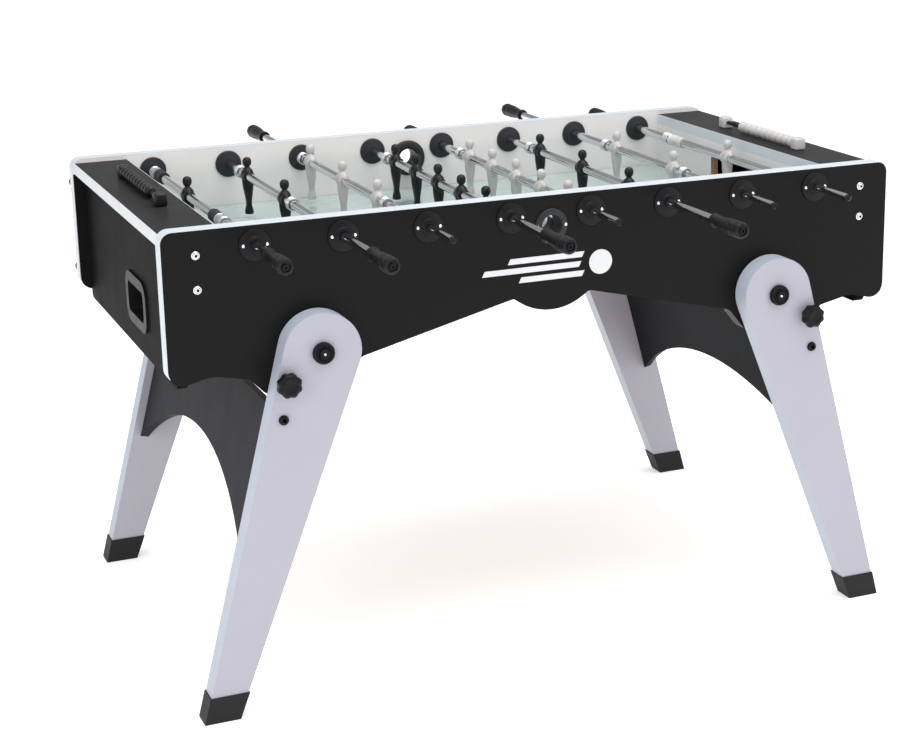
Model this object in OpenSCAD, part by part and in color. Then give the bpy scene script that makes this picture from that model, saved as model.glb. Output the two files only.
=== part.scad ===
// Table football table on two folding leg frames.
// Frame: X along the table, Y across it with the front at -Y, Z up.
// The origin is on the floor, under the middle of the cabinet.

/* [Cabinet] */
// Length of the cabinet
cab_l = 1360; // [1280:10:1640]
// Depth over the outer faces of the two side panels
cab_d = 750; // [620:10:900]
// Height of the side panels' top edge above the floor
cab_top = 840; // [820:5:900]
// Thickness of a side panel
side_t = 30; // [24:1:36]
// Radius of a side panel's top corners
corner_r = 20; // [12:1:30]
// Thickness of the white edge band
band_t = 1; // [0.8:0.1:2]
// Thickness of an end panel
end_t = 18; // [15:1:25]
// Distance an end panel sits in from the ends of the side panels
end_recess = 21; // [10:1:25]
// Height of an end panel's lower edge above the floor
end_low_z = 568; // [560:1:590]
// Thickness of a top board
lid_t = 21; // [18:1:25]
// Width of a top board along X
lid_w = 106; // [100:1:120]
// Depth of a top board's face under the side panels' top edge
lid_drop = 8; // [2:1:10]
// Distance a top board's outer edge sits in from the end of the cabinet
lid_inset = 4; // [2:1:8]
// Thickness of a goal wall
goal_wall_t = 16; // [12:1:18]

/* [Field] */
// Depth of the glass surface under the rods' axis
field_drop = 82; // [80:1:90]
// Thickness of the field's glass
glass_t = 5; // [4:1:6]
// Thickness of the field's board
board_t = 16; // [12:1:19]
// Width of a goal mouth
goal_w = 208; // [180:1:220]
// Height of a goal mouth above the glass
goal_h = 66; // [60:1:75]

/* [Rods] */
// Distance from an outermost rod to the end of the cabinet
rod_end = 155; // [150:1:170]
// Depth of the rods' axis under the side panels' top edge
rod_drop = 34; // [32:1:45]
// Radius of a rod's outer tube
rod_r = 8; // [7.5:0.1:9]
// Radius of the fixed inner rod that a tube runs on
inner_r = 6.5; // [6:0.1:7]
// Length of an inner rod that shows outside its side panel
inner_out = 115; // [60:5:140]
// Running clearance between sliding round parts
run_gap = 0.08; // [0.05:0.01:0.1]
// Clearance between a loose ring and its rod
loose_gap = 0.35; // [0.3:0.05:0.5]
// Travel each way of a goalkeeper's rod
travel_1 = 77; // [60:1:90]
// Travel each way of a rod with two men
travel_2 = 159; // [120:1:165]
// Travel each way of a rod with three men
travel_3 = 82; // [60:1:90]
// Travel each way of a rod with five men
travel_5 = 49; // [40:1:60]
// Height of a man from boot to crown
man_h = 106; // [100:1:107]
// Width of a man's shoulders along the rod
man_w = 26; // [22:1:28]
// Length of a handle
handle_l = 98; // [92:1:110]
// Largest radius of a handle
handle_r = 14; // [13.5:0.5:16]

/* [Legs] */
// Thickness of a leg
leg_t = 38; // [30:1:45]
// Gap between a leg and its side panel
leg_gap = 3; // [2.6:0.1:5]
// Radius of a leg's round head
head_r = 67; // [56:1:75]
// Distance from a leg's pivot to the end of the cabinet
pivot_in = 250; // [240:1:270]
// Depth of a leg's pivot under the side panels' top edge
pivot_drop = 217; // [210:1:230]
// Distance of the foot's outer edge outboard of the pivot
foot_out = 232; // [200:1:240]
// Distance of the foot's inner edge outboard of the pivot
foot_in = 174; // [150:1:185]
// Height of the rubber foot
foot_h = 46; // [30:1:60]
// Thickness of the arch panel between two legs
arch_t = 16; // [12:1:18]
// Rise of the arch
arch_rise = 131; // [110:1:140]
// Radius of a pivot bolt
pivot_r = 8; // [7:0.5:9]

/* [Scorers] */
// Radius of a score bead
bead_r = 11; // [8:0.5:12]
// Distance between two beads
bead_pitch = 21; // [20:1:24]
// Distance between the posts of a score rail
score_l = 285; // [270:5:330]

/* [Hidden] */
$fn = 64;
eps = 0.01;
fit = 0.05;          // clearance between fixed round parts
glue = 0.1;          // glue line between two fixed flat parts
end_x = cab_l / 2;
side_y = cab_d / 2;
wall_y = side_y - side_t;
rod_z = cab_top - rod_drop;
glass_z = rod_z - field_drop;
board_z = glass_z - glass_t - board_t;
lid_top = cab_top - lid_drop;
lid_z = lid_top - lid_t;
field_x = end_x - lid_w;
end_face = end_x - end_recess;
pivot_x = end_x - pivot_in;
pivot_z = cab_top - pivot_drop;

// Colours
black_board = [0.13, 0.13, 0.13];
white_band = [0.89, 0.92, 0.93];
cream = [0.9, 0.89, 0.87];
mint = [0.81, 0.88, 0.85];
leg_grey = [0.77, 0.77, 0.82];
panel_grey = [0.27, 0.27, 0.29];
steel = [0.75, 0.76, 0.78];
black_plastic = [0.08, 0.08, 0.08];
frosted = [0.85, 0.85, 0.84];
rubber = [0.18, 0.18, 0.19];

// ---- Outlines -------------------------------------------------------------

function unit(v) = v / norm(v);
function xz(p) = [p[0], p[1]];

// The arc that rounds corner b, between its neighbours a and c.
function round_corner(a, b, c, r, steps = 10) =
  let (u = unit(xz(a) - xz(b)),
       w = unit(xz(c) - xz(b)),
       half = acos(u * w) / 2,
       mid = xz(b) + unit(u + w) * r / sin(half),
       from = xz(b) + u * r / tan(half) - mid,
       to = xz(b) + w * r / tan(half) - mid,
       start = atan2(from[1], from[0]),
       turn = (atan2(to[1], to[0]) - start + 540) % 360 - 180)
  [for (i = [0:steps]) mid + r * [cos(start + turn * i / steps), sin(start + turn * i / steps)]];

// A closed outline of corners [x, z, radius], each one rounded.
function rounded(p) =
  [for (i = [0:len(p) - 1])
    each round_corner(p[(i + len(p) - 1) % len(p)], p[i], p[(i + 1) % len(p)], p[i][2])];

// Where a line from point f touches a circle of radius r round the origin.
function touch(f, r, side) =
  let (a = atan2(f[1], f[0]) + side * acos(r / norm(f))) r * [cos(a), sin(a)];

// Right half of a side panel's outline, from the top corner round to the middle.
lobe_low = 72;       // depth of the pivot lobe under the pivot
belly_low = cab_top - 226;
belly_r = 106;
belly_x = 72;
nose_z = cab_top - 263;
band_end_z = cab_top - 243;
function half_side(inset) = [
  [end_x - inset, cab_top - inset, corner_r - inset],
  [end_x - inset, nose_z, 26],
  [end_x - 73, nose_z + 17, 60],
  [pivot_x + 115, pivot_z - 42, 8],
  [pivot_x + 87, pivot_z - lobe_low, 22],
  [pivot_x - 43, pivot_z - lobe_low, 25],
  [pivot_x - 78, pivot_z - 28, 25],
  [belly_x, cab_top - 177, 8],
  [0, belly_low, belly_r]
];
function side_outline(inset) =
  let (h = half_side(inset), n = len(h) - 1)
  rounded([for (p = h) p, for (i = [n - 1:-1:0]) [-h[i][0], h[i][1], h[i][2]]]);

// Lays a drawing of X and Z upright, its thickness running from y0 towards +Y.
module upright(y0, t) {
  translate([0, y0 + t, 0]) rotate([90, 0, 0]) linear_extrude(t) children();
}

module box(low, high) {
  translate(low) cube(high - low);
}

// Both ends: mirrored children for -X, children for +X.
module both_ends() {
  children();
  mirror([1, 0, 0]) children();
}

// A round bar or tube along Y.
module bar_y(r, y0, y1, bore = 0) {
  translate([0, y0, 0]) rotate([-90, 0, 0]) difference() {
    cylinder(r = r, h = y1 - y0);
    if (bore > 0) translate([0, 0, -eps]) cylinder(r = bore, h = y1 - y0 + 2 * eps);
  }
}

// ---- Rod layout -----------------------------------------------------------

rods = 8;
rod_pitch = (cab_l - 2 * rod_end) / (rods - 1);
men_on = [1, 2, 3, 5, 5, 3, 2, 1];
handle_side = [-1, -1, 1, -1, 1, -1, 1, 1];
shift_of = [66, 80, 81, -30, -48, -21, 13, -52];
disc_t = 6;          // inner disc of a bearing
flange_t = 4;        // outer flange of a bearing
flange_r = 27;
disc_r = 26;
bush_r = 14;
buffer_in = 38;      // from the outer man to the start of its spring
buffer_l = 18;
keeper_l = 78;       // length of a goalkeeper rod's stop
reach = 540;         // handle end from the middle, without its travel
handle_gap = 12;     // wall of a handle past the rod's end
function rod_x(k) = (k - 1 - (rods - 1) / 2) * rod_pitch;
function travel(k) = let (n = men_on[k - 1]) n == 1 ? travel_1 : n == 2 ? travel_2 : n == 3 ? travel_3 : travel_5;
function stop_y(k) = wall_y - disc_t - travel(k);
function men_pitch(k) = let (n = men_on[k - 1]) n == 1 ? 0 : 2 * (stop_y(k) - buffer_in - buffer_l) / (n - 1);
function handle_end(k) = reach + side_y - 375 + travel(k);

// Puts children, drawn for a handle at +Y on a centred rod, in rod k's place.
module at_rod(k) {
  translate([rod_x(k), shift_of[k - 1], rod_z])
    scale_y(handle_side[k - 1]) children();
}
module scale_y(s) {
  if (s > 0) children();
  else mirror([0, 1, 0]) children();
}

// Children once at each rod: the handle's side has $handle true.
module each_bearing(front) {
  for (k = [1:rods]) {
    $handle = (handle_side[k - 1] < 0) == front;
    translate([rod_x(k), 0, rod_z]) children();
  }
}

// ---- Cabinet --------------------------------------------------------------

entry_r = 22;
entry_bore = 19;
entry_z = rod_z - 20;
screw_r = 1.5;
flange_screw = 20;
entry_screw = 26;
bolt_r = 3;
bolt_x = end_x - 57;
bolt_heights = [cab_top - 42, cab_top - 99];
bumper_heights = [cab_top - 52, cab_top - 219];

module band_zone() {
  for (s = [-1, 1])
    translate([s > 0 ? end_x - 26 : -end_x - 1, band_end_z]) square([27, cab_top - band_end_z + 1]);
  translate([-end_x - 1, cab_top - 26]) square([cab_l + 2, 27]);
}
module band_2d() {
  intersection() {
    difference() {
      polygon(side_outline(0));
      polygon(side_outline(band_t));
    }
    band_zone();
  }
}
module side_2d() {
  difference() {
    polygon(side_outline(0));
    band_2d();
  }
}

// A side panel; front is true for the one at -Y.
module side_panel(front) {
  s = front ? -1 : 1;
  y0 = front ? -side_y : wall_y;
  difference() {
    upright(y0, side_t) side_2d();
    each_bearing(front) {
      bar_y(bush_r, y0 - 1, y0 + side_t + 1);
      for (side = [-1, 1]) translate([side * flange_screw, 0, 0]) screw_hole(front);
    }
    translate([0, 0, entry_z]) {
      bar_y(entry_r, y0 - 1, y0 + side_t + 1);
      for (side = [-1, 1]) translate([side * entry_screw, 0, 0]) screw_hole(front);
    }
    for (e = [-1, 1]) {
      for (z = bolt_heights) translate([e * bolt_x, 0, z]) bar_y(bolt_r + fit, y0 - 1, y0 + side_t + 1);
      translate([e * pivot_x, 0, pivot_z]) bar_y(pivot_r + fit, y0 - 1, y0 + side_t + 1);
    }
  }
}
module screw_hole(front) {
  if (front) bar_y(screw_r + fit, -side_y - 1, -side_y + 12);
  else bar_y(screw_r + fit, side_y - 12, side_y + 1);
}
module side_panel_front() { color(black_board) side_panel(true); }
module side_panel_back() { color(black_board) side_panel(false); }

module edge_bands() {
  color(white_band) {
    upright(-side_y, side_t) band_2d();
    upright(wall_y, side_t) band_2d();
    both_ends() {
      for (x = [field_x, end_x - lid_inset - band_t])
        box([x, -wall_y + glue, lid_z], [x + band_t, wall_y - glue, lid_top]);
    }
  }
}

outlet_w = 122;
outlet_h = 60;
outlet_r = 14;
outlet_y = -80;
outlet_z = cab_top - 182;
cleat = 34;
cleat_h = 91;
cleat_x = end_face - end_t - cleat - glue;
module cleats() {
  for (s = [-1, 1])
    difference() {
      translate([cleat_x, s > 0 ? wall_y - cleat : -wall_y, lid_z - cleat_h]) cube([cleat, cleat, cleat_h]);
      for (z = bolt_heights) translate([bolt_x, 0, z]) bar_y(bolt_r + fit, -wall_y - 1, wall_y + 1);
    }
}
// Outline of the ball outlet in an end panel, in Y and Z.
module outlet_2d(grow) {
  translate([outlet_y, outlet_z]) polygon(rounded([
    [outlet_w / 2 + grow, outlet_h / 2 + grow, outlet_r + grow],
    [outlet_w / 2 + grow, -outlet_h / 2 - grow, outlet_r + grow],
    [-outlet_w / 2 - grow, -outlet_h / 2 - grow, outlet_r + grow],
    [-outlet_w / 2 - grow, outlet_h / 2 + grow, outlet_r + grow]
  ]));
}
// Stands a drawing of Y and Z upright, its thickness running from x0 towards +X.
module crosswise(x0, t) {
  translate([x0, 0, 0]) rotate([90, 0, 90]) linear_extrude(t) children();
}
module end_panel_2d() {
  polygon(rounded([
    [wall_y, lid_z, 0.5], [wall_y, end_low_z, 12], [-wall_y, end_low_z, 12], [-wall_y, lid_z, 0.5]
  ]));
}
// The end at -X; the other end is the same, turned half round.
module end_panel() {
  crosswise(-end_face, end_t) difference() {
    end_panel_2d();
    outlet_2d(0);
  }
  mirror([1, 0, 0]) cleats();
}
module turned_ends() {
  children();
  rotate([0, 0, 180]) children();
}
module end_panels() { color(black_board) turned_ends() end_panel(); }

post_d = 22;
rail_r = 4;
rail_x = end_x - 61;
rail_y = -18;
rail_z = lid_top + 12;
module top_boards() {
  color(black_board) both_ends()
    box([field_x + band_t, -wall_y, lid_z], [end_x - lid_inset - band_t, wall_y, lid_top]);
}

goal_low = glass_z - 112;
module goal_wall_2d() {
  difference() {
    translate([-wall_y, goal_low]) square([2 * wall_y, lid_z - goal_low]);
    translate([-goal_w / 2, glass_z]) square([goal_w, goal_h]);
  }
}
module goal_walls() {
  color(cream) both_ends() crosswise(field_x, goal_wall_t) goal_wall_2d();
}

batten_w = 60;
batten_t = 18;
module playfield_board() {
  color([0.62, 0.5, 0.36]) {
    box([-field_x, -wall_y, board_z], [field_x, wall_y, board_z + board_t]);
    for (x = [-2, 0, 2])
      box([x * rod_pitch - batten_w / 2, -wall_y, board_z - batten_t],
          [x * rod_pitch + batten_w / 2, wall_y, board_z - glue]);
  }
}
module playfield_glass() {
  color(mint) box([-field_x, -wall_y, glass_z - glass_t], [field_x, wall_y, glass_z]);
}

// A ball tray: a sloping trough behind the goal, with the framed outlet at its low end.
tray_wall = 2.5;
tray_x0 = end_face - end_t;
tray_x1 = field_x + goal_wall_t;
frame_t = 4;
frame_w = 16;
tray_low = outlet_z - outlet_h / 2 - tray_wall;
tray_rise = 22;
tray_half = wall_y - cleat - 5;
module trough_2d() {
  low_l = outlet_y - outlet_w / 2;
  low_r = outlet_y + outlet_w / 2;
  polygon([
    [-tray_half, tray_low + tray_rise], [low_l, tray_low], [low_r, tray_low], [tray_half, tray_low + tray_rise],
    [tray_half, tray_low + tray_rise + 26], [-tray_half, tray_low + tray_rise + 26]
  ]);
}
module trough_inside_2d() {
  low_l = outlet_y - outlet_w / 2;
  low_r = outlet_y + outlet_w / 2;
  polygon([
    [-tray_half + tray_wall, tray_low + tray_rise + tray_wall], [low_l, tray_low + tray_wall],
    [low_r, tray_low + tray_wall], [tray_half - tray_wall, tray_low + tray_rise + tray_wall],
    [tray_half - tray_wall, tray_low + tray_rise + 60], [-tray_half + tray_wall, tray_low + tray_rise + 60]
  ]);
}
module ball_tray() {
  difference() {
    union() {
      crosswise(-tray_x0, tray_x0 - tray_x1) trough_2d();
      crosswise(-end_face - frame_t, frame_t) outlet_2d(frame_w);
      crosswise(-end_face - eps, end_t + 2 * eps) outlet_2d(-fit);
    }
    crosswise(-tray_x0 + tray_wall, tray_x0 - tray_x1 - 2 * tray_wall) trough_inside_2d();
    crosswise(-end_face - frame_t - 1, frame_t + end_t + tray_wall + 2) outlet_2d(-tray_wall - fit);
  }
}
module ball_trays() { color(black_plastic) turned_ends() ball_tray(); }

// A ball entry: an outer flange and sleeve, and an inner ring with a chute lip.
entry_flange_r = 30;
entry_ring_r = 36;
entry_ring_t = 7;
lip_l = 30;
module ball_entry() {
  difference() {
    union() {
      bar_y(entry_flange_r, side_y, side_y + flange_t);
      bar_y(entry_r - fit, wall_y + glue, side_y + eps);
    }
    bar_y(entry_bore, wall_y - 1, side_y + flange_t + 1);
    for (s = [-1, 1]) translate([s * entry_screw, 0, 0]) bar_y(screw_r + fit, side_y - 1, side_y + flange_t + 1);
  }
  difference() {
    union() {
      bar_y(entry_ring_r, wall_y - entry_ring_t, wall_y);
      bar_y(entry_bore + 3, wall_y - lip_l, wall_y - entry_ring_t + eps);
    }
    bar_y(entry_bore, wall_y - lip_l - 1, wall_y + 1);
    box([-entry_bore - 4, wall_y - lip_l - 1, -2], [entry_bore + 4, wall_y - entry_ring_t, entry_bore + 4]);
  }
}
module ball_entries() {
  color(black_plastic) turned_ends() translate([0, 0, entry_z]) ball_entry();
}

// A rod bearing: a flanged bush through the panel and a disc inside it.
module bearing(front) {
  bore = $handle ? rod_r + run_gap : inner_r + fit;
  scale_y(front ? -1 : 1) {
    difference() {
      union() {
        bar_y(flange_r, side_y, side_y + flange_t);
        bar_y(bush_r - fit, wall_y + glue, side_y + eps);
      }
      bar_y(bore, wall_y - 1, side_y + flange_t + 1);
      for (s = [-1, 1]) translate([s * flange_screw, 0, 0]) bar_y(screw_r + fit, side_y - 1, side_y + flange_t + 1);
    }
    bar_y(disc_r, wall_y - disc_t, wall_y, bore);
  }
}
module rod_bearings() {
  color(black_plastic) {
    each_bearing(true) bearing(true);
    each_bearing(false) bearing(false);
  }
}

// The inner rods stand fixed in the bearings opposite the handles.
inner_reach = 80;
inner_chamfer = 1.5;
module inner_rods() {
  length = side_y + inner_out + inner_reach;
  color(steel) for (k = [1:rods]) translate([rod_x(k), 0, rod_z]) scale_y(handle_side[k - 1])
    translate([0, -side_y - inner_out, 0]) rotate([-90, 0, 0]) rotate_extrude() polygon([
      [0, 0], [inner_r - inner_chamfer, 0], [inner_r, inner_chamfer], [inner_r, length], [0, length]
    ]);
}

cap_r = 18.5;
cap_t = 13;
module screw_head(r, t) {
  rotate([-90, 0, 0]) rotate_extrude() polygon([
    [0, 0], [r, 0], [r, t * 0.4], [r * 0.75, t * 0.85], [r * 0.45, t], [0, t]
  ]);
}
module pivot_cap() {
  rotate([-90, 0, 0]) rotate_extrude() polygon([
    [0, 0], [cap_r, 0], [cap_r, cap_t * 0.6], [cap_r * 0.86, cap_t * 0.8], [cap_r * 0.7, cap_t * 0.8],
    [cap_r * 0.66, cap_t * 0.65], [cap_r * 0.5, cap_t * 0.65], [cap_r * 0.46, cap_t], [0, cap_t]
  ]);
}
leg_y = side_y + leg_gap;
leg_face = leg_y + leg_t;
bumper_r = 9;
bumper_l = 24;
// Two rubber-tipped bumpers near each end of the back panel.
module bumpers() {
  for (e = [-1, 1], z = bumper_heights) translate([e * (end_x - bumper_r), side_y, z]) screw_head(bumper_r, bumper_l);
}
module bolts_of_side(front) {
  scale_y(front ? -1 : 1) {
    for (e = [-1, 1]) {
      for (z = bolt_heights) translate([e * bolt_x, 0, z]) {
        translate([0, side_y, 0]) screw_head(6, 4);
        bar_y(bolt_r, wall_y - cleat + 8, side_y + eps);
      }
      translate([e * pivot_x, 0, pivot_z]) {
        bar_y(pivot_r, wall_y - 8, leg_face + 1);
        translate([0, leg_face + 0.5, 0]) pivot_cap();
      }
    }
    translate([0, side_y + flange_t, entry_z]) for (s = [-1, 1]) translate([s * entry_screw, 0, 0]) small_screw();
  }
  each_bearing(front) scale_y(front ? -1 : 1)
    translate([0, side_y + flange_t, 0]) for (s = [-1, 1]) translate([s * flange_screw, 0, 0]) small_screw();
}
module small_screw() {
  screw_head(3, 2);
  bar_y(screw_r, -flange_t - 10, eps);
}
module cabinet_bolts() {
  color(steel) {
    bolts_of_side(true);
    bolts_of_side(false);
    bumpers();
  }
}

// A score rail: two posts on the top board and the bar between them.
module score_rail() {
  translate([rail_x, rail_y, 0]) {
    for (s = [-1, 1]) translate([0, s * score_l / 2 - post_d / 2, 0]) {
      translate([0, 0, rail_z]) bar_y(post_d / 2, 0, post_d);
      box([-post_d / 2, 0, lid_top], [post_d / 2, post_d, rail_z]);
    }
    translate([0, 0, rail_z]) bar_y(rail_r, -score_l / 2, score_l / 2);
  }
}
module score_rails() { color(black_plastic) turned_ends() score_rail(); }

beads = 10;
bead_gap = 0.4;
bead_free = score_l - post_d - beads * bead_pitch;
// Ten beads on a rail, drawn at its -Y end.
module score_beads() {
  for (i = [0:beads - 1])
    translate([rail_x, rail_y - score_l / 2 + post_d / 2 + bead_gap / 2 + (i + 0.5) * bead_pitch, rail_z])
      bead();
}
module bead() {
  half = (bead_pitch - bead_gap) / 2;
  rotate([-90, 0, 0]) rotate_extrude() polygon([
    [rail_r + loose_gap, -half], [bead_r * 0.82, -half], [bead_r, -half * 0.55],
    [bead_r, half * 0.55], [bead_r * 0.82, half], [rail_r + loose_gap, half]
  ]);
}
module score_beads_left() {
  color(black_plastic) rotate([0, 0, 180]) score_beads();
}
module score_beads_right() { color(frosted) score_beads(); }

// ---- Leg frames: drawn at the +X end, mirrored for the -X end --------------

foot_outer = [foot_out, -pivot_z];
foot_inner = [foot_in, -pivot_z];
touch_outer = touch(foot_outer, head_r, 1);
touch_inner = touch(foot_inner, head_r, -1);
splay = atan2(touch_outer[1], touch_outer[0]);
foot_pad = 5;        // rubber under the end of the leg
foot_skin = 2;       // rubber round the end of the leg
function leg_edge(f, t, h) = f + (t - f) * h / (t[1] - f[1]);
arch_out = head_r - 16;    // arch panel's outer face from the pivot
arch_top = 115;            // arch panel's top edge from the pivot, along the leg
knob_edge = 16;      // knob's axis from the leg's outer edge
knob_down = 58.5;    // knob's axis from the pivot, along the leg
bolt_down = 121;     // arch bolt's axis from the pivot, along the leg
// A point of a leg: across it from the pivot, and down along it.
function in_leg(across, down) = across * [cos(splay), sin(splay)] + down * [sin(splay), -cos(splay)];
knob_at = in_leg(head_r - knob_edge, knob_down);
bolt_at = in_leg(arch_out - arch_t / 2, bolt_down);
knob_stud_r = 5;
leg_bolt_r = 4;

// Children placed on the pivot of the right leg frame.
module at_pivot() { translate([pivot_x, 0, pivot_z]) children(); }
module both_sides() {
  children();
  mirror([0, 1, 0]) children();
}
// A leg's outline: two straight edges that run into its round head.
head_steps = 40;
module leg_2d() {
  a0 = splay;
  a1 = atan2(touch_inner[1], touch_inner[0]) + 360;
  difference() {
    polygon([
      leg_edge(foot_inner, touch_inner, foot_pad), leg_edge(foot_outer, touch_outer, foot_pad),
      for (i = [0:head_steps]) let (a = a0 + (a1 - a0) * i / head_steps) head_r * [cos(a), sin(a)]
    ]);
    circle(r = pivot_r + run_gap);
    translate(knob_at) circle(r = knob_stud_r + run_gap);
    translate(bolt_at) circle(r = leg_bolt_r + fit);
  }
}
module legs() { both_sides() at_pivot() upright(leg_y, leg_t) leg_2d(); }
module legs_left() { color(leg_grey) mirror([1, 0, 0]) legs(); }
module legs_right() { color(leg_grey) legs(); }

// The arch panel's outline: across the table, and down along the legs.
arch_steps = 24;
module arch_2d() {
  w = leg_y;
  r = (w * w + arch_rise * arch_rise) / (2 * arch_rise);
  low = arch_top + 274;
  half = asin(w / r);
  polygon([
    [-w, -arch_top], [w, -arch_top],
    for (i = [0:arch_steps])
      let (a = half * (1 - 2 * i / arch_steps))
      [r * sin(a), -(low - arch_rise + r * (1 - cos(a)))]
  ]);
}
module arch_panel() {
  difference() {
    at_pivot() rotate([0, -splay, 0]) translate([arch_out - arch_t, 0, 0])
      rotate([90, 0, 90]) linear_extrude(arch_t) arch_2d();
    both_sides() at_pivot() translate([bolt_at[0], 0, bolt_at[1]]) bar_y(leg_bolt_r + fit, leg_y - 40, leg_y + 1);
  }
}
module arch_panel_left() { color(panel_grey) mirror([1, 0, 0]) arch_panel(); }
module arch_panel_right() { color(panel_grey) arch_panel(); }

function foot_line(f, t, h, out) = leg_edge(f, t, h) + [out, 0];
module foot_2d() {
  polygon([
    foot_line(foot_inner, touch_inner, 0, -foot_skin), foot_line(foot_outer, touch_outer, 0, foot_skin),
    foot_line(foot_outer, touch_outer, foot_h, foot_skin), foot_line(foot_inner, touch_inner, foot_h, -foot_skin)
  ]);
}
module foot_inside_2d() {
  polygon([
    leg_edge(foot_inner, touch_inner, foot_pad), leg_edge(foot_outer, touch_outer, foot_pad),
    leg_edge(foot_outer, touch_outer, foot_h + 1), leg_edge(foot_inner, touch_inner, foot_h + 1)
  ]);
}
module feet() {
  both_sides() at_pivot() difference() {
    upright(leg_y - foot_skin, leg_t + 2 * foot_skin) foot_2d();
    upright(leg_y, leg_t) foot_inside_2d();
  }
}
module feet_left() { color(rubber) mirror([1, 0, 0]) feet(); }
module feet_right() { color(rubber) feet(); }

module leg_bolts() {
  both_sides() at_pivot() translate([bolt_at[0], 0, bolt_at[1]]) {
    bar_y(leg_bolt_r, leg_y - 35, leg_face + eps);
    translate([0, leg_face, 0]) screw_head(9, 6);
  }
}
module leg_bolts_left() { color(black_plastic) mirror([1, 0, 0]) leg_bolts(); }
module leg_bolts_right() { color(black_plastic) leg_bolts(); }

knob_r = 22;
knob_t = 26;
lobes = 8;
// A lock knob on the back leg at the +X end.
module lock_knob() {
  at_pivot() translate([knob_at[0], 0, knob_at[1]]) {
    bar_y(knob_stud_r, side_y + 0.5, leg_face + 2);
    bar_y(knob_r * 0.62, leg_face + 0.3, leg_face + 6);
    bar_y(knob_r * 0.86, leg_face + 5, leg_face + knob_t);
    for (i = [0:lobes - 1]) rotate([0, (i + 0.5) * 360 / lobes, 0])
      translate([knob_r * 0.8, 0, 0]) bar_y(knob_r * 0.2, leg_face + 5, leg_face + knob_t - 2);
  }
}
module lock_knob_front_left() { color(black_plastic) rotate([0, 0, 180]) lock_knob(); }
module lock_knob_back_left() { color(black_plastic) mirror([1, 0, 0]) lock_knob(); }
module lock_knob_front_right() { color(black_plastic) mirror([0, 1, 0]) lock_knob(); }
module lock_knob_back_right() { color(black_plastic) lock_knob(); }

// ---- Rods, drawn with the handle at +Y -------------------------------------

module rod(k) {
  color(steel) at_rod(k) bar_y(rod_r, -stop_y(k), handle_end(k) - handle_gap - fit, inner_r + run_gap);
}

// A man from the front, in Y and Z about the rod's axis.
man_top = 32;
head_ball = 7.6;
boot_z = man_top - man_h;
module man_front_2d() {
  h = man_w / 2;
  right = [
    [3.9, 20], [4.4, 17.2], [8, 15.4], [h - 1.6, 13], [h, 9], [h - 0.6, 2], [h - 1.6, -6], [h - 2.4, -14], [9.6, -22],
    [8.8, -30], [7.8, -40], [6.6, -48], [6.4, -55], [7.8, -61], [8.6, boot_z + 10], [8.6, boot_z]
  ];
  polygon([for (p = right) p, for (i = [len(right) - 1:-1:0]) [-right[i][0], right[i][1]]]);
}
// A man from the side, in X and Z.
module man_side_2d() {
  right = [
    [4, 20], [4.2, 17.2], [6, 15.4], [9, 13], [11, 9], [12, 2], [12.2, -4], [11.6, -11], [10.6, -17], [9.6, -22],
    [8.6, -30], [7.4, -40], [6.2, -48], [6.1, -55], [7.6, -60], [8.8, boot_z + 10], [8.8, boot_z]
  ];
  polygon([for (p = right) p, for (i = [len(right) - 1:-1:0]) [-right[i][0], right[i][1]]]);
}
module man() {
  difference() {
    union() {
      intersection() {
        crosswise(-20, 40) man_front_2d();
        upright(-20, 40) man_side_2d();
      }
      bar_y(rod_r + 3.2, -man_w / 2, man_w / 2);
      translate([0, 0, man_top - head_ball]) sphere(r = head_ball);
    }
    bar_y(rod_r + fit, -man_w, man_w);
  }
}
module men(k) {
  n = men_on[k - 1];
  color(handle_side[k - 1] < 0 ? black_plastic : frosted) at_rod(k)
    for (i = [0:n - 1]) translate([0, (i - (n - 1) / 2) * men_pitch(k), 0]) man();
}

// A handle: a collar, a waist and a swelling grip, closed at its end.
module handle(k) {
  start = handle_end(k) - handle_l;
  color(black_plastic) at_rod(k) translate([0, start, 0]) rotate([-90, 0, 0]) difference() {
    rotate_extrude() polygon([
      [0, 0], [11.2, 0], [12.2, 2], [12.2, 10], [10.6, 14], [10.6, 22], [12, 40],
      [handle_r - 0.4, handle_l - 34], [handle_r, handle_l - 24], [handle_r, handle_l - 9],
      [handle_r - 2, handle_l - 2], [handle_r - 4, handle_l], [6.4, handle_l], [5.4, handle_l - 4.5],
      [0, handle_l - 4.5]
    ]);
    translate([0, 0, -1]) cylinder(r = rod_r + fit, h = handle_l - handle_gap + 1);
  }
}

// The loose stops outside the outer men: a spring, or a ring and sleeve for a goalkeeper.
module spring_sleeve(y0, y1) {
  turns = 5;
  p = (y1 - y0) / turns;
  r0 = rod_r + loose_gap;
  translate([0, y0, 0]) rotate([-90, 0, 0]) rotate_extrude() polygon([
    [r0, 0],
    for (i = [0:turns - 1]) each [[r0 + 1.2, i * p], [r0 + 3, (i + 0.3) * p], [r0 + 3, (i + 0.7) * p]],
    [r0 + 1.2, turns * p], [r0, turns * p]
  ]);
}
module buffers(k) {
  n = men_on[k - 1];
  stop = stop_y(k);
  color(steel) at_rod(k) both_sides() {
    if (n == 1) {
      bar_y(rod_r + 4, stop - keeper_l, stop - keeper_l + 20, rod_r + loose_gap);
      bar_y(rod_r + 2.6, stop - keeper_l + 20.3, stop, rod_r + loose_gap);
    } else spring_sleeve(stop - buffer_l, stop);
  }
}

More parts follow.
